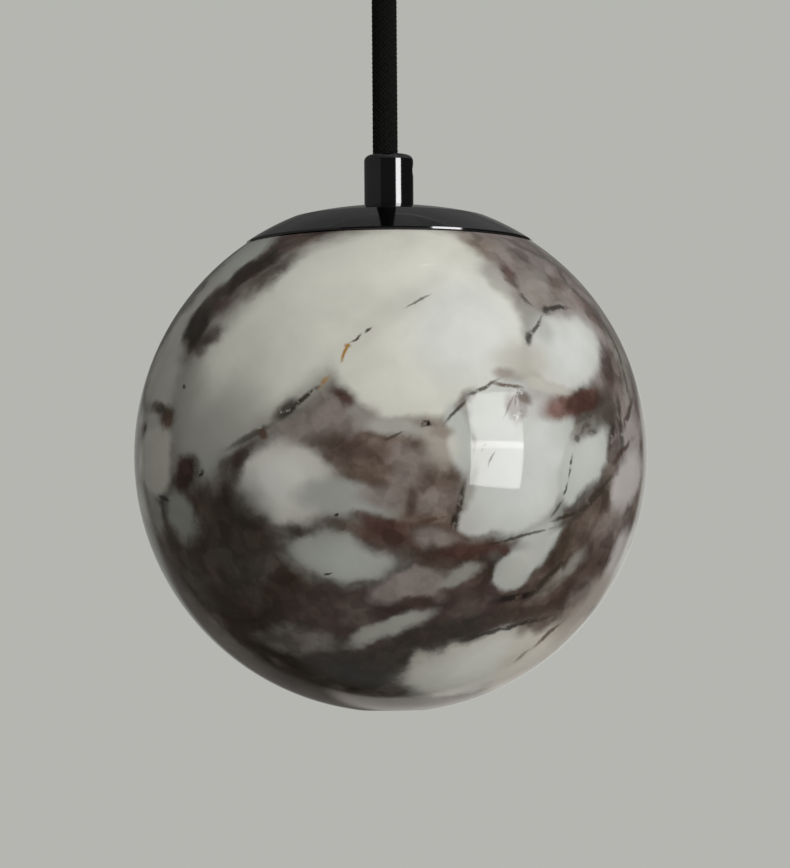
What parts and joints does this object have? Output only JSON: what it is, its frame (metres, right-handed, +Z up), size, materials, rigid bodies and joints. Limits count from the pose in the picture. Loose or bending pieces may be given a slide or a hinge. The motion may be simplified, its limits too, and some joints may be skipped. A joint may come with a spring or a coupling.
{
  "type": "stone pendant light",
  "caption": "Polished breccia-marble globe hung on a black textile cord from a ceiling canopy, with a black-chrome cap and cord grips; the globe comes down to change its lamp.",
  "frame": {"origin": "middle of the bracket's top face, on the ceiling", "axes": "+Z up into the ceiling, +X along the bracket, and the pictured front faces -Y"},
  "size_m": [0.12, 0.12, 0.2176],
  "materials": {
    "breccia_marble": "polished cream clasts in a purple-brown matrix",
    "black_chrome": "polished black chrome",
    "textile_cord": "black braided textile",
    "zinc_steel": "zinc-plated",
    "turned_aluminium": "turned",
    "brass": "plain",
    "white_ceramic": "matt white steatite",
    "white_plastic": "moulded",
    "silicone": "matt black silicone",
    "brown_core": "brown insulation",
    "blue_core": "blue insulation",
    "earth_core": "green and yellow insulation",
    "clear_glass": "clear",
    "led_board": "white board with yellow phosphor"
  },
  "bodies": {
    "bracket": {"ceiling_bracket": "zinc_steel"},
    "canopy": {"canopy_cup": "black_chrome", "canopy_side_screws": "black_chrome", "ceiling_grip": "black_chrome", "ceiling_grip_screw": "zinc_steel", "ceiling_grip_washer": "zinc_steel", "ceiling_grip_nut": "zinc_steel", "terminal_block": "white_plastic", "terminal_bars": "brass", "terminal_screws": "zinc_steel", "terminal_nuts": "zinc_steel", "ceiling_cord_tail": "textile_cord", "ceiling_live_lead": "brown_core", "ceiling_neutral_lead": "blue_core", "ceiling_earth_lead": "earth_core"},
    "cord_bend": {"cord_bend": "textile_cord"},
    "pendant": {"cord_drop": "textile_cord", "lamp_grip": "black_chrome", "lamp_grip_screw": "zinc_steel", "lamp_cord_tail": "textile_cord", "cord_stop": "zinc_steel", "top_cap": "black_chrome", "threaded_collar": "turned_aluminium", "rim_gasket": "silicone", "lamp_yoke": "zinc_steel", "collar_washer": "zinc_steel", "collar_nut": "zinc_steel", "earth_tag": "brass", "earth_screw": "zinc_steel", "lamp_holder": "white_ceramic", "holder_contacts": "brass", "holder_screws": "zinc_steel", "holder_nuts": "zinc_steel", "lamp_live_lead": "brown_core", "lamp_neutral_lead": "blue_core", "lamp_earth_lead": "earth_core"},
    "globe": {"stone_globe": "breccia_marble", "neck_ring": "turned_aluminium"},
    "bulb": {"bulb_base": "white_ceramic", "bulb_pins": "zinc_steel", "bulb_envelope": "clear_glass", "bulb_led_board": "led_board"}
  },
  "joints": [
    {"name": "canopy_drop", "type": "slide", "parent": "bracket", "child": "canopy", "axis": [0, 0, -1], "range_m": [0, 0.03]},
    {"name": "swing_fore_aft", "type": "hinge", "parent": "canopy", "child": "cord_bend", "pos_m": [-0.0008, 0, -0.0384], "axis": [1, 0, 0], "range_deg": [-20, 20]},
    {"name": "swing_sideways", "type": "hinge", "parent": "cord_bend", "child": "pendant", "pos_m": [-0.0008, 0, -0.0384], "axis": [0, 1, 0], "range_deg": [-20, 20]},
    {"name": "globe_drop", "type": "slide", "parent": "pendant", "child": "globe", "axis": [0, 0, -1], "range_m": [0, 0.1]},
    {"name": "bulb_pull", "type": "slide", "parent": "pendant", "child": "bulb", "axis": [0, 0, -1], "range_m": [0, 0.012]}
  ]
}
